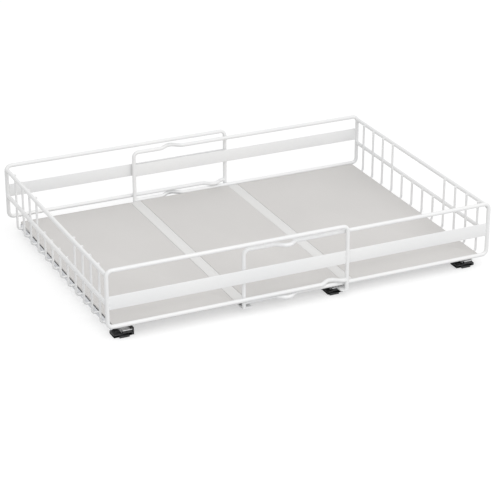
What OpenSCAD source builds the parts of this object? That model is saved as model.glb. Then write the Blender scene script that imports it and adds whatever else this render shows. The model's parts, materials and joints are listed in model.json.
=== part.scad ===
// Pull-out cabinet basket in two wire halves that slide into each other, so the
// width can be drawn out, on three flat ball-bearing slides.
// X runs to the right, Y from the front to the back, Z up. The origin lies on the
// cabinet floor, under the middle of the basket. Sizes are in millimetres.

/* [Basket] */
// Width between the two ends' upright rods, pushed together
total_w = 605; // [540:5:640]
// Depth between the front and back loops of the left half
depth = 426; // [390:2:460]
// Height between the left half's bottom and top rods
loop_h = 84; // [72:1:100]
// Height between the right half's bottom and top rods
right_loop_h = 81; // [72:1:100]
// Length of the left half
left_len = 367; // [340:1:380]
// Length of the right half
right_len = 398; // [380:1:430]

/* [Rods and wires] */
// Thickness of the frame rods
rod_d = 6; // [5:0.5:7]
// Thickness of the hook wires under the boards
wire_d = 3.5; // [3:0.25:4]
// Bend radius of a frame rod, at its middle line
rod_bend = 8; // [6:0.5:12]
// Bend radius of a hook wire, at its middle line
wire_bend = 5; // [4:0.5:7]
// Number of hook wires on each half
hook_n = 12; // [10:2:12]
// Front of the basket to the first hook wire
hook_first = 40; // [38:0.5:41]
// Distance from one hook wire to the next
hook_pitch = 32.5; // [32:0.1:33]
// How far the right half's hook wires stand in front of the left half's
hook_shift = 10.5; // [9:0.5:12]
// Number of short hooks that leave the hand gap open
short_n = 4; // [2:2:6]
// Height of the top side rail over the loop's bottom rod
top_rail_up = 78.5; // [70:0.5:80]
// Height of the middle side rail over the loop's bottom rod
mid_rail_up = 35; // [28:0.5:42]

/* [Kinks that link the halves] */
// Length of a kink's flat top
kink_flat = 8; // [7:1:10]
// How far the right half's kinks stand out from their rods
right_kink_out = 9.6; // [8.4:0.3:9.9]
// How far the left half's kinks stand in from their rods
left_kink_out = 9; // [8.4:0.3:9.9]
// Bend radius of the kinks, at the rod's middle line
kink_bend = 9; // [6:1.5:9]
// Middle of the right half's kinks, from its inner end
right_kink_at = 64.5; // [60:0.5:70]
// Middle of the left half's kinks, from its inner end
left_kink_at = 23.5; // [23:0.5:30]

/* [Flat strips] */
// Height of the flat strips across the loops
strip_h = 20; // [16:1:24]
// Thickness of the flat strips
strip_t = 1.5; // [1:0.25:2.5]
// Height of the left front strip over its bottom rod
left_strip_up = 26; // [20:1:30]
// Height of the right front strip over its bottom rod
right_strip_up = 30; // [22:1:32]
// Height of the left back strip over its bottom rod
left_back_strip_up = 33.5; // [28:0.5:38]
// Height of the right back strip over its bottom rod
right_back_strip_up = 40.5; // [34:0.5:44]

/* [Floor] */
// Thickness of the floor boards
board_t = 2; // [1.5:0.25:2.5]
// Gap between the boards and the side hooks' upright rods
board_side = 10; // [10:0.5:14]
// Outer side of the left half to its board
left_board_side = 15; // [10:0.5:16]
// Width of the two seam strips
seam_w = 17; // [14:0.5:20]
// Middle of the left seam strip, from the left uprights
left_seam_at = 206.5; // [200:0.5:240]
// Gap between neighbouring boards
board_gap = 0.5; // [0.4:0.1:1]
// Width of the flat cross bars
bar_w = 14; // [12:0.5:16]
// Thickness of the flat cross bars
bar_t = 2; // [1.5:0.25:3]

/* [Slides] */
// Width of a slide's cabinet rail
slide_w = 30; // [30:0.5:33]
// Height of a slide, up to the cross bars
slide_h = 9.6; // [9.5:0.1:11]
// Sheet thickness of the slides
sheet_t = 1; // [1:0.05:1.1]
// Front end of the slides' rails, behind the basket's front
rail_front = 31; // [30:1:34]
// Back end of the slides' rails, ahead of the basket's back
rail_back = 2; // [0:0.5:5]
// Middle of the left slide, from the left uprights
left_slide_at = 33; // [24:0.5:36]
// Middle of the middle slide, ahead of the left half's inner end
middle_slide_at = 9.5; // [8:0.5:11]
// Middle of the right slide, from the right uprights
right_slide_at = 27; // [26:0.5:44]
// Diameter of the balls
ball_d = 2.6; // [2.4:0.1:2.7]
// Balls on each side of a cage
ball_n = 8; // [6:1:9]
// Diameter of the fixing holes in the cabinet rails
fix_hole_d = 4.5; // [4:0.1:5.5]
// Front fixing hole, behind the basket's front
fix_front = 60; // [50:1:80]
// Distance between a rail's fixing holes
fix_spacing = 340; // [320:1:344]
// How far the basket pulls out
travel = 380; // [360:4:380]
// Front face of the slides' plastic ends, behind the basket's front
cap_front = 8; // [7:0.5:8]
// Rise of the right half's bottom rods over the left hook wires
rod_rise = 2.25; // [2:0.25:4]

/* [Hidden] */
$fn = 48;
seat = 0.3;
run_gap = 0.3;
wire_step = 0.35;
rod_r = rod_d / 2;
wire_r = wire_d / 2;
// The right half stands inside the left one and a rod lower.
inset = rod_d + 0.5;
drop = rod_d + 1;
// Heights from the cabinet floor up
bar_top = slide_h + bar_t;
right_wire_z = bar_top + run_gap + wire_r;
left_wire_z = right_wire_z + wire_step;
left_board_z = left_wire_z + wire_r;
right_board_z = right_wire_z + wire_r;
right_z = left_wire_z + wire_r + rod_rise;
left_z = right_z + drop;
right_top_rail_up = top_rail_up + right_loop_h - loop_h;
// Lines along the width, from the left half's left uprights
left_end = left_len;
right_end = total_w - right_len;
left_slide = left_slide_at;
middle_slide = left_len - middle_slide_at;
right_slide = total_w - right_slide_at;
board_inset = inset + rod_r + 0.5;
end_bar_w = bar_w - 2;
end_bar_y = 22;
// Hooks
hook_x = rod_r + wire_r - seat;
wire_short = 0.4;
short_from = (hook_n - short_n) / 2 + 1;
short_to = (hook_n + short_n) / 2;
// Slides, measured from each slide's middle line and from the floor
half_w = slide_w / 2;
rail_y1 = depth - rail_back;
bumper_w = 12;
bumper_len = 14;
plate_edge = 0.5;
stop_t = 3;
member_y1 = rail_y1 - bumper_len - 2;
rail_top = slide_h - 0.4;
lip_in = half_w - sheet_t - 1.7;
outer_race = half_w - sheet_t;
outer_ball_x = outer_race - 0.2 - ball_d / 2;
mid_out = outer_ball_x - ball_d / 2 - 0.2;
mid_in = mid_out - sheet_t;
inner_ball_x = mid_in - 0.2 - ball_d / 2;
inner_out = inner_ball_x - ball_d / 2 - 0.2;
inner_in = inner_out - sheet_t;
cage_t = 0.5;
cap_lip_x = 10;
cap_arm_x = 20;
cap_short_x = 14.5;
cap_lip_y = 9.5;
cap_curl_t = 1.5;
cap_bar_t = 4;
cap_nose_x = 13;
cap_nose_w = 15;
cap_nose_t = 3;
pocket_edge = 2;
pocket_front = 5;
plug_back = 2;
plug_len = 12;
plug_t = 1.6;
cap_back = rail_front - 1;
wing_t = 0.8;
outer_web_z = sheet_t + 0.35;
mid_web_z = outer_web_z + cage_t + 0.35;
mid_web_t = 1;
inner_web_z = mid_web_z + mid_web_t + 0.3;
inner_leg_z = inner_web_z + cage_t + 0.3;
outer_ball_z = (sheet_t + rail_top - sheet_t) / 2;
inner_ball_z = inner_leg_z + ball_d / 2 + 0.1;
cage_back_set = 96;
cage_y0 = rail_front + cage_back_set;
cage_len = 184;
ball_pitch = cage_len / ball_n;
access_d = 9;
inter_access = travel / 2;
cage_access = travel / 4;
screw_ys = [for (k = [0, floor((hook_n - 1) / 2), hook_n - 2])
  hook_first + (hook_pitch - hook_shift) / 2 + k * hook_pitch];
screw_d = 4.2;
screw_hole_d = 4.4;
screw_head_d = 7;
screw_head_h = 1.5;
cross_len = 3.8;
cross_w = 0.8;
cross_deep = 0.8;
screw_inset = 6;

white = [0.95, 0.95, 0.95];
board_grey = [0.83, 0.82, 0.81];
seam_grey = [0.9, 0.9, 0.9];
zinc = [0.72, 0.73, 0.75];
steel = [0.6, 0.61, 0.63];
black = [0.08, 0.08, 0.09];

// Puts the basket's own measures in the shared frame.
module place() {
  translate([-total_w / 2, -depth / 2, 0]) children();
}

// Turns the left half's layout over to the right end.
module from_right() {
  translate([total_w, 0, 0]) mirror([1, 0, 0]) children();
}

// Carries a front piece to the back.
module at_back() {
  translate([0, depth, 0]) mirror([0, 1, 0]) children();
}

// A straight rod between two points that differ along one axis.
module rod_x(x0, x1, y, z, r) {
  translate([x0, y, z]) rotate([0, 90, 0]) cylinder(h = x1 - x0, r = r);
}

module rod_y(x, y0, y1, z, r) {
  translate([x, y0, z]) rotate([-90, 0, 0]) cylinder(h = y1 - y0, r = r);
}

module rod_z(x, y, z0, z1, r) {
  translate([x, y, z0]) cylinder(h = z1 - z0, r = r);
}

// A rod that follows flat points, with rounded bends at the inner ones.
function seg_angle(p, q) = atan2(q[1] - p[1], q[0] - p[0]);
function seg_len(p, q) = sqrt(pow(q[0] - p[0], 2) + pow(q[1] - p[1], 2));
function turn(p, i) = seg_angle(p[i], p[i + 1]) - seg_angle(p[i - 1], p[i]);
function trim(p, i, b) = (i == 0 || i == len(p) - 1) ? 0 : b * tan(abs(turn(p, i)) / 2);

module bent_rod(p, r, b) {
  for (i = [0 : len(p) - 2]) {
    a = seg_angle(p[i], p[i + 1]);
    t0 = trim(p, i, b);
    t1 = trim(p, i + 1, b);
    translate([p[i][0], p[i][1], 0]) rotate([0, 0, a]) translate([t0, 0, 0])
      rotate([0, 90, 0]) cylinder(h = seg_len(p[i], p[i + 1]) - t0 - t1, r = r);
  }
  for (i = [1 : len(p) - 2]) {
    a = seg_angle(p[i - 1], p[i]);
    w = turn(p, i);
    s = w > 0 ? 1 : -1;
    t = trim(p, i, b);
    translate([p[i][0], p[i][1], 0]) rotate([0, 0, a]) translate([-t, s * b, 0])
      rotate([0, 0, s > 0 ? -90 : 90 + w]) rotate_extrude(angle = abs(w))
        translate([b, 0]) circle(r = r);
  }
}

// Points of a straight run with one kink, from u0 to u1. It rises 3 in 4.
function kink_points(u0, u1, mid, out) = [
  [u0, 0],
  [mid - kink_flat / 2 - abs(out) * 4 / 3, 0],
  [mid - kink_flat / 2, out],
  [mid + kink_flat / 2, out],
  [mid + kink_flat / 2 + abs(out) * 4 / 3, 0],
  [u1, 0]
];

// One loop of a half, seen from its closed end at 0 to its inner end at length n:
// a bottom rod that butts on the inner upright, and a top rod bent down into it.
module half_loop(n, z0, h, top_out, bottom_out, kink_mid, y0) {
  z1 = z0 + h;
  translate([0, y0, 0]) {
    if (top_out == 0) rod_x(rod_bend, n - rod_bend, 0, z1, rod_r);
    else translate([0, 0, z1])
      bent_rod(kink_points(rod_bend, n - rod_bend, kink_mid, top_out), rod_r, kink_bend);
    translate([0, 0, z0])
      bent_rod(kink_points(rod_bend, n, kink_mid, bottom_out), rod_r, kink_bend);
    rod_z(0, 0, z0 + rod_bend, z1 - rod_bend, rod_r);
    rod_z(n, 0, bar_top, z1 - rod_bend, rod_r);
    loop_corner(rod_bend, z0 + rod_bend, 180);
    loop_corner(rod_bend, z1 - rod_bend, 90);
    loop_corner(n - rod_bend, z1 - rod_bend, 0);
  }
}

// A quarter bend in the loop's plane, about the point (u, z).
module loop_corner(u, z, a) {
  translate([u, 0, z]) rotate([90, 0, 0]) rotate([0, 0, a]) rotate_extrude(angle = 90)
    translate([rod_bend, 0]) circle(r = rod_r);
}

module left_loop() {
  half_loop(left_len, left_z, loop_h, 0, left_kink_out, left_len - left_kink_at, 0);
}

module right_loop() {
  from_right()
    half_loop(right_len, right_z, right_loop_h, -right_kink_out, -right_kink_out,
      right_len - right_kink_at, inset);
}

module left_front_loop() { color(white) place() left_loop(); }

module left_back_loop() { color(white) place() at_back() left_loop(); }

module right_front_loop() { color(white) place() right_loop(); }

module right_back_loop() { color(white) place() at_back() right_loop(); }

// The two round rails of an end, from the front upright to the back one.
module side_rails(z0, top_up, y0) {
  for (up = [top_up, mid_rail_up])
    rod_y(0, y0 + rod_r - 1, depth - y0 - rod_r + 1, z0 + up, rod_r);
}

module left_side_rails() { color(white) place() side_rails(left_z, top_rail_up, 0); }

module right_side_rails() {
  color(white) place() from_right() side_rails(right_z, right_top_rail_up, inset);
}

// A wire that hangs on the inner side of the rails, bends in and runs under the boards.
module hook_wire(y, z_top, z, x_end) {
  translate([0, y, 0]) {
    rod_z(hook_x, 0, z + wire_bend, z_top, wire_r);
    rod_x(hook_x + wire_bend, x_end, 0, z, wire_r);
    translate([hook_x + wire_bend, 0, z + wire_bend]) rotate([90, 0, 0])
      rotate([0, 0, 180]) rotate_extrude(angle = 90)
        translate([wire_bend, 0]) circle(r = wire_r);
  }
}

function is_short(i) = i >= short_from && i <= short_to;
function left_wire_y(i) = hook_first + (i - 1) * hook_pitch;
function right_wire_y(i) = left_wire_y(i) - hook_shift;

module left_hook_wires() {
  color(white) place() for (i = [1 : hook_n])
    hook_wire(left_wire_y(i), left_z + (is_short(i) ? mid_rail_up : top_rail_up) + 1,
      left_wire_z, left_len - wire_short);
}

module right_hook_wires() {
  color(white) place() from_right() for (i = [1 : hook_n])
    hook_wire(right_wire_y(i),
      right_z + (is_short(i) ? mid_rail_up : right_top_rail_up) + 1,
      right_wire_z, right_len - wire_short);
}

// Flat strips between a loop's two uprights.
module strip(n, z, y0) {
  translate([rod_r - 1, y0 - strip_t / 2, z]) cube([n - rod_d + 2, strip_t, strip_h]);
}

module left_front_strip() {
  color(white) place() strip(left_len, left_z + left_strip_up, 0);
}

module left_back_strip() {
  color(white) place() at_back() strip(left_len, left_z + left_back_strip_up, 0);
}

module right_front_strip() {
  color(white) place() from_right() strip(right_len, right_z + right_strip_up, inset);
}

module right_back_strip() {
  color(white) place() at_back() from_right()
    strip(right_len, right_z + right_back_strip_up, inset);
}

// A flat bar under the wires, with a weld pad below each of its own wires.
module cross_bar(x, w, y0, y1, pad_h, side, screw_x) {
  difference() {
    translate([x - w / 2, y0, slide_h]) cube([w, y1 - y0, bar_t]);
    if (screw_x != 0) for (y = screw_ys)
      translate([screw_x, y, slide_h - 1]) cylinder(h = bar_t + 2, d = screw_hole_d);
  }
  for (i = [1 : hook_n])
    translate([x - w / 2 + 2, (side < 0 ? left_wire_y(i) : right_wire_y(i)) - 1.5, bar_top])
      cube([w - 5, 3, pad_h]);
}

module left_cross_bars() {
  pad = left_wire_z - wire_r - bar_top + 0.2;
  color(white) place() {
    cross_bar(left_slide, end_bar_w, end_bar_y, depth - end_bar_y, pad, -1, left_slide);
    cross_bar(left_len + rod_r - bar_w / 2, bar_w, -rod_r, depth + rod_r, pad, -1,
      left_len - screw_inset);
  }
}

module right_cross_bars() {
  pad = right_wire_z - wire_r - bar_top + 0.2;
  color(white) place() from_right() {
    cross_bar(right_slide_at, end_bar_w, end_bar_y, depth - end_bar_y, pad, 1,
      right_slide_at);
    cross_bar(right_len + rod_r - bar_w / 2, bar_w, inset - rod_r, depth - inset + rod_r,
      pad, 1, 0);
  }
}

// A flat board with small cut corners.
module board(x0, x1, y0, y1, z, c) {
  translate([0, 0, z]) linear_extrude(board_t) polygon([
    [x0 + c, y0], [x1 - c, y0], [x1, y0 + c], [x1, y1 - c],
    [x1 - c, y1], [x0 + c, y1], [x0, y1 - c], [x0, y0 + c]
  ]);
}

module left_board() {
  color(board_grey) place() board(left_board_side, left_seam_at - seam_w / 2 - board_gap,
    board_inset, depth - board_inset, left_board_z, 2);
}

module middle_board() {
  color(board_grey) place() board(left_seam_at + seam_w / 2 + board_gap, left_end,
    board_inset, depth - board_inset, left_board_z, 0.5);
}

module left_seam_strip() {
  color(seam_grey) place() board(left_seam_at - seam_w / 2, left_seam_at + seam_w / 2,
    board_inset, depth - board_inset, left_board_z, 0.5);
}

// The right half's strip starts where the middle board ends.
module right_seam_strip() {
  color(seam_grey) place() board(left_end + board_gap, left_end + board_gap + seam_w,
    board_inset, depth - board_inset, right_board_z, 0.5);
}

module right_board() {
  color(board_grey) place() board(left_end + 2 * board_gap + seam_w, total_w - board_side,
    board_inset, depth - board_inset, right_board_z, 2);
}

// Pan-head screws that hold the inner rails to the cross bars.
module bar_screw(x, y) {
  translate([x, y, 0]) difference() {
    union() {
      translate([0, 0, bar_top]) cylinder(h = screw_head_h, d = screw_head_d);
      translate([0, 0, inner_web_z + cage_t + 0.6])
        cylinder(h = bar_top - inner_web_z - cage_t - 0.6, d = screw_d);
    }
    for (a = [0, 90])
      rotate([0, 0, a])
        translate([-cross_len / 2, -cross_w / 2, bar_top + screw_head_h - cross_deep])
          cube([cross_len, cross_w, cross_deep + 0.2]);
  }
}

module left_bar_screws() {
  color(zinc) place() for (x = [left_slide, left_len - screw_inset])
    for (y = screw_ys) bar_screw(x, y);
}

module right_bar_screws() {
  color(zinc) place() for (y = screw_ys) bar_screw(right_slide, y);
}

// A slide's rail from a flat outline, drawn along the depth.
module along(y0, y1) {
  translate([0, y1, 0]) rotate([90, 0, 0]) linear_extrude(y1 - y0) children();
}

module cabinet_rail(x) {
  t = sheet_t;
  translate([x, 0, 0]) difference() {
    along(rail_front, rail_y1) polygon([
      [-half_w, 0], [half_w, 0], [half_w, rail_top], [lip_in, rail_top],
      [lip_in, rail_top - t], [half_w - t, rail_top - t], [half_w - t, t],
      [-half_w + t, t], [-half_w + t, rail_top - t], [-lip_in, rail_top - t],
      [-lip_in, rail_top], [-half_w, rail_top]
    ]);
    for (y = [fix_front, fix_front + fix_spacing])
      translate([0, y, -1]) cylinder(h = t + 2, d = fix_hole_d);
  }
}

module left_cabinet_rail() { color(steel) place() cabinet_rail(left_slide); }

module middle_cabinet_rail() { color(steel) place() cabinet_rail(middle_slide); }

module right_cabinet_rail() { color(steel) place() cabinet_rail(right_slide); }

// The rail between the two ball rows, with a hole for reaching the front screw.
module intermediate_rail(x) {
  top = slide_h - 0.8;
  translate([x, 0, 0]) difference() {
    along(rail_front, member_y1) polygon([
      [-mid_out, mid_web_z], [mid_out, mid_web_z], [mid_out, top], [mid_in, top],
      [mid_in, mid_web_z + mid_web_t], [-mid_in, mid_web_z + mid_web_t],
      [-mid_in, top], [-mid_out, top]
    ]);
    translate([0, fix_front + inter_access, 0]) cylinder(h = slide_h, d = access_d);
  }
}

module left_intermediate_rail() { color(zinc) place() intermediate_rail(left_slide); }

module middle_intermediate_rail() { color(zinc) place() intermediate_rail(middle_slide); }

module right_intermediate_rail() { color(zinc) place() intermediate_rail(right_slide); }

// The rail that is screwed under a cross bar. Its web runs on over the front end's bar.
module inner_rail(x, screw_x) {
  t = sheet_t;
  translate([x, 0, 0]) difference() {
    along(cap_front + cap_bar_t, member_y1) polygon([
      [-inner_out, inner_leg_z], [-inner_in, inner_leg_z], [-inner_in, slide_h - t],
      [inner_in, slide_h - t], [inner_in, inner_leg_z], [inner_out, inner_leg_z],
      [inner_out, slide_h], [-inner_out, slide_h]
    ]);
    translate([-slide_w / 2, cap_front, 0])
      cube([slide_w, 2 * cap_bar_t + seat, slide_h - t]);
    for (y = screw_ys)
      translate([screw_x, y, slide_h - t - 1]) cylinder(h = t + 2, d = screw_hole_d);
  }
}

module left_inner_rail() { color(zinc) place() inner_rail(left_slide, 0); }

module middle_inner_rail() {
  color(zinc) place() inner_rail(middle_slide, middle_slide_at - screw_inset);
}

module right_inner_rail() { color(zinc) place() inner_rail(right_slide, 0); }

// Plastic front end of a slide, plugged into the inner rail: a nose, a bar across
// the front, a broad arm with a shallow pocket on the left, and a lip on the right.
// A tall lip curls over the rail.
module front_cap(x, arm_x, tall) {
  arm_in = -inner_out - seat;
  foot = 0.4;
  arm_top = 5;
  lip_t = 2.4;
  bar_y = cap_front + cap_bar_t;
  low = arm_top - foot;
  translate([x, 0, 0]) {
    translate([-cap_nose_x, cap_front, foot]) cube([cap_nose_w, cap_bar_t + 1, cap_nose_t]);
    translate([-arm_x, bar_y, foot]) cube([arm_x + cap_lip_x, cap_bar_t, low]);
    translate([-inner_out, bar_y, foot])
      cube([2 * inner_out, cap_bar_t, slide_h - sheet_t - seat - foot]);
    difference() {
      translate([-arm_x, bar_y, foot]) cube([arm_x + arm_in, cap_back - bar_y, low]);
      translate([-arm_x + pocket_edge, bar_y + pocket_front, arm_top - 1])
        cube([arm_x + arm_in - 2 * pocket_edge,
          cap_back - bar_y - pocket_front - pocket_edge, 2]);
    }
    translate([cap_lip_x - lip_t, bar_y, foot]) cube([lip_t, cap_lip_y + 4, low]);
    if (tall) {
      translate([cap_lip_x - lip_t, bar_y, foot])
        cube([lip_t, cap_lip_y, slide_h + cap_curl_t + 0.1 - foot]);
      translate([inner_out - 2, bar_y, slide_h + 0.1])
        cube([cap_lip_x - inner_out + 2, cap_lip_y, cap_curl_t]);
    }
    translate([-inner_in, bar_y + plug_back, inner_leg_z])
      cube([2 * inner_in, plug_len, plug_t]);
  }
}

module left_front_cap() { color(black) place() front_cap(left_slide, cap_arm_x, true); }

module middle_front_cap() { color(black) place() front_cap(middle_slide, cap_short_x, false); }

module right_front_cap() { color(black) place() front_cap(right_slide, cap_arm_x, false); }

// Rubber stop at the back of a cabinet rail, with a plate over the rail's end.
module rear_bumper(x) {
  translate([x - bumper_w / 2, rail_y1 - bumper_len, sheet_t])
    cube([bumper_w, bumper_len + 1, rail_top - sheet_t - 0.6]);
  translate([x - half_w + plate_edge, rail_y1, 0.4])
    cube([slide_w - 2 * plate_edge, stop_t, rail_top - 0.8]);
}

module rear_bumpers() {
  color(black) place() for (x = [left_slide, middle_slide]) rear_bumper(x);
}

module right_rear_bumper() { color(black) place() rear_bumper(right_slide); }

// A ball cage: a thin web with two upright wings that carry the balls in holes.
module ball_cage(x, ball_x, ball_z, web_z, access) {
  top = ball_z + ball_d / 2 + 0.6;
  w = ball_x + wing_t / 2;
  translate([x, cage_y0, 0]) difference() {
    along(0, cage_len) polygon([
      [-w, web_z], [w, web_z], [w, top], [w - wing_t, top], [w - wing_t, web_z + cage_t],
      [-w + wing_t, web_z + cage_t], [-w + wing_t, top], [-w, top]
    ]);
    for (k = [0 : ball_n - 1])
      translate([-w - 1, (k + 0.5) * ball_pitch, ball_z]) rotate([0, 90, 0])
        cylinder(h = 2 * w + 2, d = ball_d + 0.1);
    if (access > 0)
      translate([0, fix_front + access - cage_y0, 0]) cylinder(h = slide_h, d = access_d);
  }
}

module ball_rows(x, ball_x, ball_z) {
  for (s = [-1, 1]) for (k = [0 : ball_n - 1])
    translate([x + s * ball_x, cage_y0 + (k + 0.5) * ball_pitch, ball_z])
      sphere(d = ball_d);
}

module outer_cage(x) { ball_cage(x, outer_ball_x, outer_ball_z, outer_web_z, cage_access); }

module inner_cage(x) { ball_cage(x, inner_ball_x, inner_ball_z, inner_web_z, 0); }

module outer_ball_cages() {
  color(steel) place() for (x = [left_slide, middle_slide]) outer_cage(x);
}

module inner_ball_cages() {
  color(steel) place() for (x = [left_slide, middle_slide]) inner_cage(x);
}

module outer_balls() {
  color(steel) place() for (x = [left_slide, middle_slide])
    ball_rows(x, outer_ball_x, outer_ball_z);
}

module inner_balls() {
  color(steel) place() for (x = [left_slide, middle_slide])
    ball_rows(x, inner_ball_x, inner_ball_z);
}

module right_outer_cage() { color(steel) place() outer_cage(right_slide); }

module right_inner_cage() { color(steel) place() inner_cage(right_slide); }

module right_outer_balls() {
  color(steel) place() ball_rows(right_slide, outer_ball_x, outer_ball_z);
}

module right_inner_balls() {
  color(steel) place() ball_rows(right_slide, inner_ball_x, inner_ball_z);
}

left_front_loop();
left_back_loop();
left_side_rails();
left_hook_wires();
left_front_strip();
left_back_strip();
left_cross_bars();
left_board();
middle_board();
left_seam_strip();
left_bar_screws();
left_inner_rail();
middle_inner_rail();
left_front_cap();
middle_front_cap();
right_front_loop();
right_back_loop();
right_side_rails();
right_hook_wires();
right_front_strip();
right_back_strip();
right_cross_bars();
right_board();
right_seam_strip();
right_bar_screws();
right_inner_rail();
right_front_cap();
left_cabinet_rail();
middle_cabinet_rail();
rear_bumpers();
right_cabinet_rail();
right_rear_bumper();
left_intermediate_rail();
middle_intermediate_rail();
right_intermediate_rail();
outer_ball_cages();
outer_balls();
inner_ball_cages();
inner_balls();
right_outer_cage();
right_outer_balls();
right_inner_cage();
right_inner_balls();
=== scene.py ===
# %% [markdown]
# # A pull-out cabinet basket
# The object is a low wire basket for a kitchen cabinet. Two white halves slide into each
# other, so the width can be drawn out, and three flat ball-bearing slides let the whole
# basket roll forward. The construction model comes first and fixes every size. This
# script dresses it: the rods, wires, strips, boards and plastic ends are modelled anew,
# and the steel slides keep their construction shapes and get finishes.

# %% Load the construction model
import json
import math

import bmesh
import bpy
from mathutils import Matrix, Vector


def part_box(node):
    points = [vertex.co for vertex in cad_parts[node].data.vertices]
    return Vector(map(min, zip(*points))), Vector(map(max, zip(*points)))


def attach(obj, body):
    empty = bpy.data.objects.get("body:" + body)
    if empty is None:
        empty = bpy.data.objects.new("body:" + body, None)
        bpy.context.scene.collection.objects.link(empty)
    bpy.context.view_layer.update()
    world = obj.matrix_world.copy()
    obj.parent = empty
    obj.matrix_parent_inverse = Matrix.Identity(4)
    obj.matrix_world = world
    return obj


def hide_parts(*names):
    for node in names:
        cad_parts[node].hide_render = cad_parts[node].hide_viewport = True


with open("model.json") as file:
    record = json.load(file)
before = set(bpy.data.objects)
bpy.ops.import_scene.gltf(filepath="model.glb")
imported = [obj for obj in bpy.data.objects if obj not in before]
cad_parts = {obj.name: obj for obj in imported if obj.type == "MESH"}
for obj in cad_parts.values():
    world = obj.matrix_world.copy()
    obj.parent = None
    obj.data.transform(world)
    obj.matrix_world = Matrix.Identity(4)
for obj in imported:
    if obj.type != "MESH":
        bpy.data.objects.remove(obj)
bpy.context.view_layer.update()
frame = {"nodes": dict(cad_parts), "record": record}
nodes = frame["nodes"]

# %% [markdown]
# ## Measures
# A maker thinks of this basket from its front left corner: so far to the right, so far
# back, so far up from the cabinet floor, all in millimetres. The scene is in metres from
# the middle of the basket. One small function turns the first into the second, so that
# every number below can be read as it would stand on a drawing.

# %% Measures and the shared frame
TOTAL_W, DEPTH, LOOP_H, RIGHT_LOOP_H = 605.0, 426.0, 84.0, 81.0
LEFT_LEN, RIGHT_LEN = 367.0, 398.0
ROD_R, WIRE_R, ROD_BEND, KINK_BEND, WIRE_BEND = 3.0, 1.75, 8.0, 9.0, 5.0
INSET = 6.5
BAR_TOP = 11.6
MID_RAIL, TOP_RAIL_DROP = 35, 5.5
SHEET_GAP = 0.5
LEFT_WIRE_Z, RIGHT_WIRE_Z = 14.0, 13.65
LEFT_Z, RIGHT_Z = 25.0, 18.0
RIGHT_END = TOTAL_W - RIGHT_LEN
HOOKS, FIRST_HOOK, PITCH = 12, 40.0, 32.5


def at(x, y, z):
    return Vector(((x - TOTAL_W / 2) / 1000, (y - DEPTH / 2) / 1000, z / 1000))


def mm(length):
    return length / 1000


print("left corner of the floor plan at", [round(v, 4) for v in at(0, 0, 0)])

# %% [markdown]
# ## The camera
# The photograph looks down on the basket from the front left with a long lens. Its
# place was worked out from the corners of the frame. The camera is built from three
# directions: where it looks, what is to its right, and what is up.

# %% Camera
AZIMUTH, ELEVATION, FOCUS_PX = math.radians(24.991), math.radians(24.123), 1867.3
CAMERA_SPOT = (-786.48, -2145.55, 1160.73)
PHOTO_PX, SENSOR_MM = 500, 36

look = Vector((math.sin(AZIMUTH) * math.cos(ELEVATION), math.cos(AZIMUTH) * math.cos(ELEVATION),
               -math.sin(ELEVATION)))
camera_data = bpy.data.cameras.new("camera")
camera_data.sensor_width = SENSOR_MM
camera_data.lens = FOCUS_PX / PHOTO_PX * SENSOR_MM
camera_data.clip_start, camera_data.clip_end = 0.1, 50
camera = bpy.data.objects.new("camera", camera_data)
bpy.context.scene.collection.objects.link(camera)
camera.location = at(*CAMERA_SPOT)
camera.rotation_mode = "QUATERNION"
camera.rotation_quaternion = look.to_track_quat("-Z", "Y")
bpy.context.scene.camera = camera
print("lens", round(camera_data.lens, 1), "mm, distance", round(camera.location.length, 3), "m")

# %% [markdown]
# ## Finishes
# Each finish is a small node tree on one Principled shader. The colour and the gloss
# come from noise on the object's own coordinates, so a finish stays put when a part
# slides, and a fine bump gives the skin its feel under the light.


# %% A helper that starts every finish
NOISE_LOW, NOISE_HIGH = 0.3, 0.7


def start_finish(name, metallic=0.0):
    finish = bpy.data.materials.new(name)
    finish.use_nodes = True
    tree = finish.node_tree
    tree.nodes.clear()
    out = tree.nodes.new("ShaderNodeOutputMaterial")
    skin = tree.nodes.new("ShaderNodeBsdfPrincipled")
    skin.inputs["Metallic"].default_value = metallic
    tree.links.new(skin.outputs["BSDF"], out.inputs["Surface"])
    place = tree.nodes.new("ShaderNodeTexCoord")
    return finish, tree, skin, place


def grain(tree, place, scale, detail=4.0, stretch=(1, 1, 1)):
    """Noise on object coordinates, stretched along an axis where the metal was drawn."""
    turn = tree.nodes.new("ShaderNodeMapping")
    turn.inputs["Scale"].default_value = stretch
    noise = tree.nodes.new("ShaderNodeTexNoise")
    noise.inputs["Scale"].default_value = scale
    noise.inputs["Detail"].default_value = detail
    tree.links.new(place.outputs["Object"], turn.inputs["Vector"])
    tree.links.new(turn.outputs["Vector"], noise.inputs["Vector"])
    return noise.outputs["Fac"]


def spread(tree, value, low, high):
    """Maps noise to a narrow range of numbers."""
    node = tree.nodes.new("ShaderNodeMapRange")
    node.inputs["From Min"].default_value = NOISE_LOW
    node.inputs["From Max"].default_value = NOISE_HIGH
    node.inputs["To Min"].default_value = low
    node.inputs["To Max"].default_value = high
    tree.links.new(value, node.inputs["Value"])
    return node.outputs["Result"]


def tint(tree, value, dark, light):
    """Maps noise to a colour between two neighbours."""
    ramp = tree.nodes.new("ShaderNodeValToRGB")
    ramp.color_ramp.elements[0].position = NOISE_LOW
    ramp.color_ramp.elements[1].position = NOISE_HIGH
    ramp.color_ramp.elements[0].color = (*dark, 1)
    ramp.color_ramp.elements[1].color = (*light, 1)
    tree.links.new(value, ramp.inputs["Fac"])
    return ramp.outputs["Color"]


def roughen(tree, skin, height, strength, distance):
    bump = tree.nodes.new("ShaderNodeBump")
    bump.inputs["Strength"].default_value = strength
    bump.inputs["Distance"].default_value = distance
    tree.links.new(height, bump.inputs["Height"])
    tree.links.new(bump.outputs["Normal"], skin.inputs["Normal"])


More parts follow.
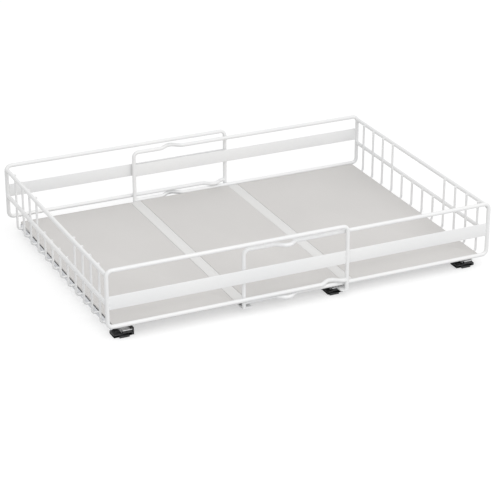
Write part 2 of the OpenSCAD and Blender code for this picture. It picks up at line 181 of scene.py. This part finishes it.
# %% [markdown]
# ## White powder coat
# The rods are steel, coated with a thermoset powder that melts into a thick satin film.
# The film has a faint orange peel a millimetre or two across, so the bump is larger and
# softer than a brushed metal's. A trace of warm and cool in the white keeps the long
# rods from looking like plastic.

# %% White powder coat
powder_white, tree, skin, place = start_finish("powder_white")
cloudy = grain(tree, place, scale=9.0, detail=2.0)
peel = grain(tree, place, scale=620.0, detail=3.0)
white = tint(tree, cloudy, dark=(0.84, 0.845, 0.85), light=(0.875, 0.875, 0.872))
tree.links.new(white, skin.inputs["Base Color"])
tree.links.new(spread(tree, peel, low=0.3, high=0.42), skin.inputs["Roughness"])
skin.inputs["Coat Weight"].default_value = 0.12
skin.inputs["Coat Roughness"].default_value = 0.18
roughen(tree, skin, peel, strength=0.12, distance=0.0004)

# %% [markdown]
# ## Floor boards
# The boards are thin, warm grey plastic sheets with a dull, lightly pebbled face. Two
# noises are enough: a broad one for the slight cloudiness of the sheet, and a fine one
# for the pebble. The narrow strips between them are the same sheet in a lighter grey.


# %% Board and seam finishes
def sheet_plastic(name, dark, light):
    finish, tree, skin, place = start_finish(name)
    broad = grain(tree, place, scale=6.0, detail=3.0)
    pebble = grain(tree, place, scale=900.0, detail=2.0)
    tree.links.new(tint(tree, broad, dark, light), skin.inputs["Base Color"])
    tree.links.new(spread(tree, pebble, low=0.55, high=0.68), skin.inputs["Roughness"])
    skin.inputs["Specular IOR Level"].default_value = 0.35
    roughen(tree, skin, pebble, strength=0.15, distance=0.0002)
    return finish


board_grey = sheet_plastic("board_grey", (0.665, 0.65, 0.635), (0.695, 0.679, 0.664))
seam_grey = sheet_plastic("seam_grey", (0.77, 0.765, 0.755), (0.8, 0.795, 0.787))

# %% [markdown]
# ## Steel of the slides
# The rails are rolled from zinc-plated strip, so their marks run along the length. The
# noise is squeezed along the depth of the basket, which draws it into fine lines, and it
# drives the gloss and a shallow bump together. The balls are hard and polished. The inner
# rails' zinc is lighter and less metallic than the outer rails': partly its own light
# silver plating, partly painted reflection of the bright room.


# %% Steel finishes
DRAWN, EVEN = (60, 1.5, 60), (1, 1, 1)


def rolled_steel(name, dark, light, gloss, metal=1.0, stretch=DRAWN):
    finish, tree, skin, place = start_finish(name, metal)
    lines = grain(tree, place, scale=14.0, detail=5.0, stretch=stretch)
    bloom = grain(tree, place, scale=35.0, detail=2.0)
    tree.links.new(tint(tree, bloom, dark, light), skin.inputs["Base Color"])
    tree.links.new(spread(tree, lines, gloss - 0.07, gloss + 0.09), skin.inputs["Roughness"])
    roughen(tree, skin, lines, strength=0.1, distance=0.0002)
    return finish


rail_steel = rolled_steel("rail_steel", (0.6, 0.61, 0.63), (0.68, 0.69, 0.71), gloss=0.34)
# Inner rails: light silver zinc plus painted reflection, which lifts their tops to near white
# under the rods.
zinc_rail = rolled_steel("zinc_rail", (0.8, 0.805, 0.815), (0.86, 0.863, 0.87), gloss=0.4,
                         metal=0.4)
cage_steel = rolled_steel("cage_steel", (0.5, 0.51, 0.53), (0.58, 0.59, 0.61), gloss=0.38)
screw_zinc = rolled_steel("screw_zinc", (0.62, 0.63, 0.66), (0.7, 0.71, 0.74), gloss=0.3,
                          stretch=EVEN)
ball_steel = rolled_steel("ball_steel", (0.72, 0.72, 0.74), (0.8, 0.8, 0.82), gloss=0.14,
                          stretch=EVEN)

# %% [markdown]
# ## Black plastic and rubber
# The slides' front ends are moulded in black plastic with a slight sheen, and the stops
# behind are duller rubber. A fine bump and a little change of gloss keep both from
# reading as a hole in the picture.


# %% Black finishes
def black_moulding(name, dark, light, rough, bump):
    finish, tree, skin, place = start_finish(name)
    broad = grain(tree, place, scale=60.0, detail=3.0)
    fine = grain(tree, place, scale=1400.0, detail=2.0)
    tree.links.new(tint(tree, broad, dark, light), skin.inputs["Base Color"])
    tree.links.new(spread(tree, fine, rough - 0.06, rough + 0.06), skin.inputs["Roughness"])
    roughen(tree, skin, fine, strength=bump, distance=0.0002)
    return finish


black_plastic = black_moulding("black_plastic", (0.012, 0.012, 0.013), (0.024, 0.024, 0.025),
                               rough=0.38, bump=0.15)
black_rubber = black_moulding("black_rubber", (0.015, 0.015, 0.015), (0.03, 0.03, 0.029),
                              rough=0.75, bump=0.3)

FINISHES = {"white_coat": powder_white, "board": board_grey, "seam_strip": seam_grey,
            "rail_steel": rail_steel, "zinc_rail": zinc_rail, "cage_steel": cage_steel,
            "screw_zinc": screw_zinc, "ball_steel": ball_steel,
            "black_plastic": black_plastic, "black_rubber": black_rubber}
print("finishes:", len(FINISHES))

# %% [markdown]
# ## Dressing the construction parts
# The slides' rails, cages, balls, screws and stops already have their true shapes, and
# so do the flat cross bars. They stay as they are and only their slots are repainted.

# %% Finishes on the construction parts
SLOT_OF = {row["node"]: row["material_slot"] for row in frame["record"]["subparts"]}
for name, part in nodes.items():
    finish = FINISHES[SLOT_OF[name]]
    for slot in part.material_slots:
        slot.material = finish
    if not part.material_slots:
        part.data.materials.append(finish)
print("repainted", len(nodes), "parts")

# %% [markdown]
# ## A bender for rods and wires
# A wire shop feeds straight rod through a bender: run some length, bend round a pin, run
# on. The helper does the same in mesh. It starts with a ring of edges, `extrude` pulls
# the ring straight on, and `spin` carries it round a bend, so every bend is a true arc
# with even rings. Growing the shape this way gives clean shading and closed ends.


# %% Rod bender
class BentRod:
    def __init__(self, start, heading, radius, sides=20):
        self.bm = bmesh.new()
        self.tip, self.heading = Vector(start), Vector(heading).normalized()
        self.radius, self.sides = radius, sides
        self.begin()

    def begin(self):
        ring = bmesh.ops.create_circle(self.bm, cap_ends=True, segments=self.sides,
                                       radius=mm(self.radius))["verts"]
        turn = Vector((0, 0, 1)).rotation_difference(self.heading).to_matrix()
        bmesh.ops.rotate(self.bm, verts=ring, cent=(0, 0, 0), matrix=turn)
        bmesh.ops.translate(self.bm, verts=ring, vec=self.tip)
        self.edges = [e for e in {e for v in ring for e in v.link_edges} if e.is_boundary]

    def restart(self, start, heading):
        """Cuts the rod off and starts another piece in the same mesh."""
        self.cut()
        self.tip, self.heading = Vector(start), Vector(heading).normalized()
        self.begin()

    def run(self, length):
        grown = bmesh.ops.extrude_edge_only(self.bm, edges=self.edges)["geom"]
        verts = [g for g in grown if isinstance(g, bmesh.types.BMVert)]
        bmesh.ops.translate(self.bm, verts=verts, vec=self.heading * mm(length))
        self.edges = [g for g in grown if isinstance(g, bmesh.types.BMEdge)]
        self.tip = self.tip + self.heading * mm(length)

    def bend(self, towards, degrees, pin, steps=6):
        towards = Vector(towards).normalized()
        axis = self.heading.cross(towards)
        centre = self.tip + towards * mm(pin)
        swept = bmesh.ops.spin(self.bm, geom=self.edges, cent=centre, axis=axis,
                               angle=math.radians(degrees), steps=steps)["geom_last"]
        self.edges = [g for g in swept if isinstance(g, bmesh.types.BMEdge)]
        turn = Matrix.Rotation(math.radians(degrees), 3, axis)
        self.tip = centre + turn @ (self.tip - centre)
        self.heading = (turn @ self.heading).normalized()

    def side_after(self, towards, degrees):
        """The inner side of a bend that turns back after one of so many degrees."""
        towards = Vector(towards).normalized()
        axis = self.heading.cross(towards)
        return Matrix.Rotation(math.radians(degrees), 3, axis) @ towards

    def cut(self):
        bmesh.ops.contextual_create(self.bm, geom=self.edges)


# %% [markdown]
# ## From mesh to piece
# A finished mesh becomes an object at the origin, smooth where it is round and sharp at
# real corners, with its finish. It then hides the construction node that it stands for
# and hangs on the empty of the body that it rides on.


# %% Piece maker
SHARP_DEGREES = 40
BEAD_R, BEAD_SIDES, BEAD_STEPS = 0.55, 8, 16


def make_piece(name, bm, finish, body, stands_for):
    bmesh.ops.recalc_face_normals(bm, faces=bm.faces)
    mesh = bpy.data.meshes.new(name)
    bm.to_mesh(mesh)
    bm.free()
    mesh.shade_smooth()
    mesh.set_sharp_from_angle(angle=math.radians(SHARP_DEGREES))
    mesh.materials.append(finish)
    piece = bpy.data.objects.new(name, mesh)
    bpy.context.scene.collection.objects.link(piece)
    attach(piece, body)
    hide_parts(*stands_for)
    return piece


def weld_ring(bm, centre, axis, radius):
    """A thin bead of weld round a rod, spun from a small circle."""
    axis = Vector(axis).normalized()
    side = axis.orthogonal().normalized()
    dots = bmesh.ops.create_circle(bm, segments=BEAD_SIDES, radius=mm(BEAD_R))["verts"]
    turn = Matrix((side, axis, side.cross(axis))).transposed()
    bmesh.ops.rotate(bm, verts=dots, cent=(0, 0, 0), matrix=turn)
    bmesh.ops.translate(bm, verts=dots, vec=Vector(centre) + side * mm(radius))
    edges = list({e for v in dots for e in v.link_edges})
    bmesh.ops.spin(bm, geom=edges, cent=centre, axis=axis, angle=math.tau, steps=BEAD_STEPS,
                   use_merge=True)


def compare(piece, node):
    """Prints how far the piece's box is from its node's."""
    low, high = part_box(node)
    points = [v.co for v in piece.data.vertices]
    mine = [(min(p[i] for p in points), max(p[i] for p in points)) for i in range(3)]
    gap = max(max(abs(mine[i][0] - low[i]), abs(mine[i][1] - high[i])) for i in range(3))
    print(f"{piece.name}: {len(piece.data.polygons)} faces, {1000 * gap:.2f} mm from {node}")


# %% [markdown]
# ## The four loops
# Front and back, each half has one bent rod. It starts at the floor end of the inner
# upright, runs along the bottom to the closed corner, climbs, comes back along the top
# and turns down into the upright. Each kink is a small bump made by four bends. The kinks
# reach past the other half's rods, so the halves can slide but can't pull apart.

# %% Kinked runs and loops
KINK_SINE, KINK_RUN = 0.6, 4 / 3
SLOPE = math.degrees(math.asin(KINK_SINE))
KINK_FLAT, KINK_STEPS = 8.0, 5
KINK_TANGENT = KINK_BEND / 3
BEAD_BACK, BEAD_SINK = 0.2, 0.1


def kinked_run(rod, length, middle, out, towards):
    """A straight run with one kink whose middle lies so far from the run's start."""
    rise = out / KINK_SINE
    half = KINK_FLAT / 2 + out * KINK_RUN + KINK_TANGENT
    rod.run(middle - half)
    back = -rod.side_after(towards, SLOPE)
    rod.bend(towards, SLOPE, KINK_BEND, KINK_STEPS)
    rod.run(rise - 2 * KINK_TANGENT)
    rod.bend(back, SLOPE, KINK_BEND, KINK_STEPS)
    rod.run(KINK_FLAT - 2 * KINK_TANGENT)
    down = -Vector(towards)
    up_again = -rod.side_after(down, SLOPE)
    rod.bend(down, SLOPE, KINK_BEND, KINK_STEPS)
    rod.run(rise - 2 * KINK_TANGENT)
    rod.bend(up_again, SLOPE, KINK_BEND, KINK_STEPS)
    rod.run(length - middle - half)


def bend_loop(name, corner, along, towards, length, base, height, kink_mid, bottom_out, top_out,
              body):
    """corner is the closed corner's plan point; along points from it to the inner end."""
    x, y = corner
    foot = at(x, y, base) + along * mm(length)
    rod = BentRod(foot, -along, ROD_R)
    kinked_run(rod, length - ROD_BEND, length - kink_mid, bottom_out, towards)
    rod.bend((0, 0, 1), 90, ROD_BEND)
    rod.run(height - 2 * ROD_BEND)
    rod.bend(along, 90, ROD_BEND)
    if top_out:
        kinked_run(rod, length - 2 * ROD_BEND, kink_mid - ROD_BEND, top_out, towards)
    else:
        rod.run(length - 2 * ROD_BEND)
    rod.bend((0, 0, -1), 90, ROD_BEND)
    rod.run(base + height - ROD_BEND - BAR_TOP)
    rod.cut()
    weld_ring(rod.bm, foot - along * mm(ROD_R - BEAD_BACK), along, ROD_R - BEAD_SINK)
    piece = make_piece(name + "_rod", rod.bm, powder_white, body, (name,))
    compare(piece, name)


X_AXIS, Y_AXIS = Vector((1, 0, 0)), Vector((0, 1, 0))
LEFT_BODY, RIGHT_BODY = "left_basket_half", "right_basket_half"
left_kink, right_kink = LEFT_LEN - 23.5, RIGHT_LEN - 64.5
LEFT_OUT, RIGHT_OUT, STRAIGHT = 9.0, 9.6, 0
for side, y_left, y_right, inward in (("front", 0, INSET, Y_AXIS),
                                      ("back", DEPTH, DEPTH - INSET, -Y_AXIS)):
    bend_loop(f"left_{side}_loop", (0, y_left), X_AXIS, inward, LEFT_LEN, LEFT_Z,
              LOOP_H, left_kink, LEFT_OUT, STRAIGHT, LEFT_BODY)
    bend_loop(f"right_{side}_loop", (TOTAL_W, y_right), -X_AXIS, -inward, RIGHT_LEN,
              RIGHT_Z, RIGHT_LOOP_H, right_kink, RIGHT_OUT, RIGHT_OUT, RIGHT_BODY)

# %% [markdown]
# ## Side rails
# Each end has two plain rods between the front and back loops, one under the top corner
# and one at mid height. They butt against the uprights, so each end gets a thin bead of
# weld, which the powder has covered.


# %% Side rails
RAIL_BUTT, BEAD_IN, BEAD_OFF = 1, 0.45, 0.3


def side_rails(side, x, inset, base, height, body):
    rod = None
    bead_in = BEAD_IN if x == 0 else -BEAD_IN
    for rise in (height - TOP_RAIL_DROP, MID_RAIL):
        start = at(x, inset + ROD_R - RAIL_BUTT, base + rise)
        if rod is None:
            rod = BentRod(start, Y_AXIS, ROD_R)
        else:
            rod.restart(start, Y_AXIS)
        rod.run(DEPTH - 2 * (inset + ROD_R - RAIL_BUTT))
        for y in (inset + ROD_R - BEAD_OFF, DEPTH - inset - ROD_R + BEAD_OFF):
            weld_ring(rod.bm, at(x + bead_in, y, base + rise), Y_AXIS, ROD_R - BEAD_SINK)
    rod.cut()
    piece = make_piece(f"{side}_rails", rod.bm, powder_white, body, (f"{side}_side_rails",))
    compare(piece, f"{side}_side_rails")


side_rails("left", 0, 0, LEFT_Z, LOOP_H, LEFT_BODY)
side_rails("right", TOTAL_W, INSET, RIGHT_Z, RIGHT_LOOP_H, RIGHT_BODY)

# %% [markdown]
# ## Hook wires
# The floor is carried by thin wires. Each hangs from a side rail, turns in through a
# small bend and runs under the boards to the half's inner cross bar. The middle four
# stop at the lower rail, which leaves a gap for the hand. A small weld nugget shows
# where each wire crosses its rail.


# %% Hook wires
WIRE_SIDES, WIRE_STEPS = 14, 7
SHORT_HOOKS = range(5, 9)
HOOK_SINK, HOOK_END, NUGGET_BACK = 0.3, 0.4, 0.2
HOOK_NUGGET = (0.8, 2.4, 1.5)
RIGHT_SHIFT = 10.5


def weld_nugget(bm, centre, size):
    """A flattened drop of weld."""
    drop = bmesh.ops.create_uvsphere(bm, u_segments=10, v_segments=6, radius=1)["verts"]
    bmesh.ops.scale(bm, verts=drop, vec=[mm(s) for s in size])
    bmesh.ops.translate(bm, verts=drop, vec=centre)


def hook_wires(side, inward, wire_x, base, height, wire_z, ys, length, body):
    rod = None
    for i, y in enumerate(ys, 1):
        short = i in SHORT_HOOKS
        top = base + (MID_RAIL if short else height - TOP_RAIL_DROP) + 1
        start = at(wire_x, y, top)
        if rod is None:
            rod = BentRod(start, (0, 0, -1), WIRE_R, WIRE_SIDES)
        else:
            rod.restart(start, (0, 0, -1))
        rod.run(top - wire_z - WIRE_BEND)
        rod.bend(inward, 90, WIRE_BEND, WIRE_STEPS)
        rod.run(length - HOOK_END - hook_in - WIRE_BEND)
        for rise in ((MID_RAIL,) if short else (MID_RAIL, height - TOP_RAIL_DROP)):
            spot = at(wire_x, y, base + rise) - inward * mm(WIRE_R - NUGGET_BACK)
            weld_nugget(rod.bm, spot, HOOK_NUGGET)
    rod.cut()
    piece = make_piece(f"{side}_wires", rod.bm, powder_white, body, (f"{side}_hook_wires",))
    compare(piece, f"{side}_hook_wires")


left_ys = [FIRST_HOOK + i * PITCH for i in range(HOOKS)]
right_ys = [y - RIGHT_SHIFT for y in left_ys]
hook_in = ROD_R + WIRE_R - HOOK_SINK
hook_wires("left", X_AXIS, hook_in, LEFT_Z, LOOP_H, LEFT_WIRE_Z, left_ys, LEFT_LEN, LEFT_BODY)
hook_wires("right", -X_AXIS, TOTAL_W - hook_in, RIGHT_Z, RIGHT_LOOP_H, RIGHT_WIRE_Z, right_ys,
           RIGHT_LEN, RIGHT_BODY)

# %% [markdown]
# ## Flat strips
# A flat strip crosses each loop between its uprights. It is cut from sheet, so its long
# edges are softly rounded by the coating. A cube scaled to size and bevelled gives that,
# and a weld bead down each end ties it to the rods.


# %% Flat strips
STRIP_H, STRIP_HALF, STRIP_ROUND, STRIP_IN = 20, 0.75, 0.45, 2
STRIP_NUGGET, NUGGET_RISES, NUGGET_IN = (1.4, 1.3, 2.6), (3, 10, 17), 1.2


def block(bm, low, high):
    """A box between two drawing points, ready to be bevelled."""
    a, b = at(*low), at(*high)
    made = bmesh.ops.create_cube(bm, size=1)["verts"]
    bmesh.ops.scale(bm, verts=made, vec=b - a)
    bmesh.ops.translate(bm, verts=made, vec=(a + b) / 2)
    return made


def bevel(bm, edges, width, segments):
    bmesh.ops.bevel(bm, geom=edges, offset=mm(width), offset_type="OFFSET", segments=segments,
                    profile=0.5, affect="EDGES", material=-1)


def soften(bm, verts, width):
    bevel(bm, list({e for v in verts for e in v.link_edges}), width, segments=3)


def flat_strip(node, x0, x1, y, z, body):
    bm = bmesh.new()
    sheet = block(bm, (x0, y - STRIP_HALF, z), (x1, y + STRIP_HALF, z + STRIP_H))
    soften(bm, sheet, STRIP_ROUND)
    for x in (x0 + NUGGET_IN, x1 - NUGGET_IN):
        for rise in NUGGET_RISES:
            weld_nugget(bm, at(x, y, z + rise), STRIP_NUGGET)
    piece = make_piece(node + "_plate", bm, powder_white, body, (node,))
    compare(piece, node)


left_span = (STRIP_IN, LEFT_LEN - STRIP_IN)
right_span = (RIGHT_END + STRIP_IN, TOTAL_W - STRIP_IN)
flat_strip("left_front_strip", *left_span, 0, LEFT_Z + 26, LEFT_BODY)
flat_strip("left_back_strip", *left_span, DEPTH, LEFT_Z + 33.5, LEFT_BODY)
flat_strip("right_front_strip", *right_span, INSET, RIGHT_Z + 30, RIGHT_BODY)
flat_strip("right_back_strip", *right_span, DEPTH - INSET, RIGHT_Z + 40.5, RIGHT_BODY)

# %% [markdown]
# ## Floor boards and seam strips
# The floor is thin sheet in three boards with two narrow strips between them. Each is a
# flat block whose corners are rounded in plan first and whose top and bottom edges are
# then broken, in two bevels, the way a sheet is cut and then tumbled.


# %% Boards
SHEET_T, SHEET_IN, SHEET_EDGE = 2, 10, 0.35
BOARD_CORNER, SEAM_CORNER = 2, 0.5


def floor_board(node, x0, x1, z, corner, finish, body):
    bm = bmesh.new()
    block(bm, (x0, SHEET_IN, z), (x1, DEPTH - SHEET_IN, z + SHEET_T))
    upright = [e for e in bm.edges if abs((e.verts[0].co - e.verts[1].co).z) > 0.001]
    bevel(bm, upright, corner, segments=4)
    flat = [e for e in bm.edges if abs((e.verts[0].co - e.verts[1].co).z) < 1e-6]
    bevel(bm, flat, SHEET_EDGE, segments=2)
    piece = make_piece(node + "_sheet", bm, finish, body, (node,))
    compare(piece, node)


SEAM_W, SEAM_MIDDLE, LEFT_BOARD_X = 17, 206.5, 15
LEFT_SEAM = SEAM_MIDDLE - SEAM_W / 2
RIGHT_SEAM = LEFT_LEN + SHEET_GAP
LEFT_BOARD_Z, RIGHT_BOARD_Z = 15.75, 15.4
for node, x0, x1, z, corner, finish, slot, body in (
        ("left_board", LEFT_BOARD_X, LEFT_SEAM - SHEET_GAP, LEFT_BOARD_Z, BOARD_CORNER,
         board_grey, "board", LEFT_BODY),
        ("left_seam_strip", LEFT_SEAM, LEFT_SEAM + SEAM_W, LEFT_BOARD_Z, SEAM_CORNER,
         seam_grey, "seam_strip", LEFT_BODY),
        ("middle_board", LEFT_SEAM + SEAM_W + SHEET_GAP, LEFT_LEN, LEFT_BOARD_Z, SEAM_CORNER,
         board_grey, "board", LEFT_BODY),
        ("right_seam_strip", RIGHT_SEAM, RIGHT_SEAM + SEAM_W, RIGHT_BOARD_Z, SEAM_CORNER,
         seam_grey, "seam_strip", RIGHT_BODY),
        ("right_board", RIGHT_SEAM + SEAM_W + SHEET_GAP, TOTAL_W - SHEET_IN, RIGHT_BOARD_Z,
         BOARD_CORNER, board_grey, "board", RIGHT_BODY)):
    floor_board(node, x0, x1, z, corner, finish, body)

# %% [markdown]
# ## Black front ends
# Each slide carries a black plastic end that is plugged into the inner rail. Seen from
# the front it is a low foot with a broad arm on the left, a bar across the front and a
# thin lip on the right that curls over. It is built from bevelled blocks that run into
# each other, as ribs of one moulding do.


# %% Front ends
CAP_Y, FOOT_Z, BAR_Y, BAR_BACK, CAP_BACK = 8, 0.4, 4, 8, 22
ARM_TOP, ARM_IN, POCKET_FLOOR, RIM, BACK_RIM = 5.0, -7.3, 3.9, 1.9, 2
LIP_X, LIP_T, LIP_BACK = 10, 2.4, 17.5
TALL_BACK, CURL_IN, CURL_Z, CURL_TOP = 13.5, 5, 9.7, 11.2
SOFT, ROUND, FIRM, CRISP = 0.8, 0.6, 0.5, 0.4
ARM_X, SHORT_ARM_X = -20, -14.5
LEFT_SLIDE, MIDDLE_SLIDE, RIGHT_SLIDE = 33, LEFT_LEN - 9.5, TOTAL_W - 27


def front_end(node, centre, body, arm_x=ARM_X, tall=False):
    bm = bmesh.new()

    def rib(low, high, width=FIRM):
        soften(bm, block(bm, (centre + low[0], CAP_Y + low[1], low[2]),
                         (centre + high[0], CAP_Y + high[1], high[2])), width)

    rib((-13, 0, FOOT_Z), (2, 5, 3.4), SOFT)  # nose
    rib((arm_x, BAR_Y, FOOT_Z), (LIP_X, BAR_BACK, ARM_TOP), SOFT)  # bar across the front
    rib((-7, BAR_Y, FOOT_Z), (7, BAR_BACK, 8.3), ROUND)  # raised middle
    rib((arm_x, BAR_Y, FOOT_Z), (ARM_IN, CAP_BACK, POCKET_FLOOR))  # arm
    rib((arm_x, BAR_Y, FOOT_Z), (arm_x + RIM, CAP_BACK, ARM_TOP))  # rims of the pocket
    rib((ARM_IN - RIM, BAR_Y, FOOT_Z), (ARM_IN, CAP_BACK, ARM_TOP))
    rib((arm_x, CAP_BACK - BACK_RIM, FOOT_Z), (ARM_IN, CAP_BACK, ARM_TOP))
    rib((arm_x, 12.6, FOOT_Z), (ARM_IN, 13.8, 4.6), CRISP)  # rib across the pocket
    rib((LIP_X - LIP_T, BAR_Y, FOOT_Z), (LIP_X, LIP_BACK, ARM_TOP), SOFT)  # lip
    if tall:
        rib((LIP_X - LIP_T, BAR_Y, FOOT_Z), (LIP_X, TALL_BACK, CURL_TOP), SOFT)
        rib((CURL_IN, BAR_Y, CURL_Z), (LIP_X, TALL_BACK, CURL_TOP), ROUND)
    rib((-6.0, 6, 4.3), (6.0, 18, 5.9))  # plug
    piece = make_piece(node + "_moulding", bm, black_plastic, body, (node,))
    compare(piece, node)


front_end("left_front_cap", LEFT_SLIDE, LEFT_BODY, tall=True)
front_end("middle_front_cap", MIDDLE_SLIDE, LEFT_BODY, arm_x=SHORT_ARM_X)
front_end("right_front_cap", RIGHT_SLIDE, RIGHT_BODY)

# %% [markdown]
# ## Floor, light and background
# The product stands on a white sweep with a soft shadow under it. The floor is a plain
# white surface that takes the shadow, and a little light of its own, seen only by the
# camera, lifts it to pure white where nothing shades it. The lamps stay at a plain level.

# %% Floor
FLOOR_HALF, PAPER, LIFT = 40, 0.58, 0.5

floor_bm = bmesh.new()
bmesh.ops.create_grid(floor_bm, x_segments=4, y_segments=4, size=FLOOR_HALF)
floor_mesh = bpy.data.meshes.new("floor")
floor_bm.to_mesh(floor_mesh)
floor_bm.free()
floor = bpy.data.objects.new("floor", floor_mesh)
bpy.context.scene.collection.objects.link(floor)

floor_white = bpy.data.materials.new("floor_white")
floor_white.use_nodes = True
tree = floor_white.node_tree
tree.nodes.clear()
out = tree.nodes.new("ShaderNodeOutputMaterial")
paper = tree.nodes.new("ShaderNodeBsdfDiffuse")
paper.inputs["Color"].default_value = (PAPER, PAPER, PAPER, 1)
lift = tree.nodes.new("ShaderNodeEmission")
lift.inputs["Color"].default_value = (1, 1, 1, 1)
lift.inputs["Strength"].default_value = LIFT
rays = tree.nodes.new("ShaderNodeLightPath")
seen = tree.nodes.new("ShaderNodeMath")
seen.operation = "MAXIMUM"
both = tree.nodes.new("ShaderNodeAddShader")
only_seen = tree.nodes.new("ShaderNodeMixShader")
dark = tree.nodes.new("ShaderNodeEmission")
dark.inputs["Strength"].default_value = 0
tree.links.new(rays.outputs["Is Camera Ray"], seen.inputs[0])
tree.links.new(rays.outputs["Is Glossy Ray"], seen.inputs[1])
tree.links.new(seen.outputs[0], only_seen.inputs[0])
tree.links.new(dark.outputs[0], only_seen.inputs[1])
tree.links.new(lift.outputs[0], only_seen.inputs[2])
tree.links.new(paper.outputs[0], both.inputs[0])
tree.links.new(only_seen.outputs[0], both.inputs[1])
tree.links.new(both.outputs[0], out.inputs["Surface"])
floor_mesh.materials.append(floor_white)
print("floor:", 2 * FLOOR_HALF, "m square")

# %% World
ROOM_STRENGTH = 0.78

world = bpy.data.worlds.new("studio")
bpy.context.scene.world = world
world.use_nodes = True
tree = world.node_tree
tree.nodes.clear()
out = tree.nodes.new("ShaderNodeOutputWorld")
room = tree.nodes.new("ShaderNodeBackground")
room.inputs["Color"].default_value = (1, 1, 1, 1)
room.inputs["Strength"].default_value = ROOM_STRENGTH
backdrop = tree.nodes.new("ShaderNodeBackground")
backdrop.inputs["Color"].default_value = (1, 1, 1, 1)
backdrop.inputs["Strength"].default_value = 1.0
rays = tree.nodes.new("ShaderNodeLightPath")
first = tree.nodes.new("ShaderNodeMath")
first.operation = "MAXIMUM"
second = tree.nodes.new("ShaderNodeMath")
second.operation = "MAXIMUM"
choose = tree.nodes.new("ShaderNodeMixShader")
tree.links.new(rays.outputs["Is Camera Ray"], first.inputs[0])
tree.links.new(rays.outputs["Is Glossy Ray"], first.inputs[1])
tree.links.new(first.outputs[0], second.inputs[0])
tree.links.new(rays.outputs["Is Transmission Ray"], second.inputs[1])
tree.links.new(second.outputs[0], choose.inputs[0])
tree.links.new(room.outputs[0], choose.inputs[1])
tree.links.new(backdrop.outputs[0], choose.inputs[2])
tree.links.new(choose.outputs[0], out.inputs["Surface"])
print("room light:", ROOM_STRENGTH)


# %% Lamps
def soft_sun(name, strength, spread_degrees, direction):
    data = bpy.data.lights.new(name, "SUN")
    data.energy = strength
    data.angle = math.radians(spread_degrees)
    lamp = bpy.data.objects.new(name, data)
    bpy.context.scene.collection.objects.link(lamp)
    lamp.rotation_mode = "QUATERNION"
    lamp.rotation_quaternion = Vector(direction).to_track_quat("-Z", "Y")
    print(name, "sun:", strength)


soft_sun("key", strength=0.5, spread_degrees=60, direction=(-0.35, 0.6, -1.0))

# %% Front panel
PANEL_SIZE, PANEL_POWER = (1.6, 0.9), 6.5
PANEL_SPOT, PANEL_AIM = (-0.1, -1.6, 0.85), (0, -0.1, 0.05)

panel_data = bpy.data.lights.new("front_panel", "AREA")
panel_data.shape = "RECTANGLE"
panel_data.size, panel_data.size_y = PANEL_SIZE
panel_data.energy = PANEL_POWER
panel = bpy.data.objects.new("front_panel", panel_data)
bpy.context.scene.collection.objects.link(panel)
panel.location = PANEL_SPOT
panel.rotation_mode = "QUATERNION"
panel.rotation_quaternion = (Vector(PANEL_AIM) - panel.location).to_track_quat("-Z", "Y")
print("front panel:", PANEL_POWER, "W")
bpy.context.scene.view_settings.view_transform = "Standard"
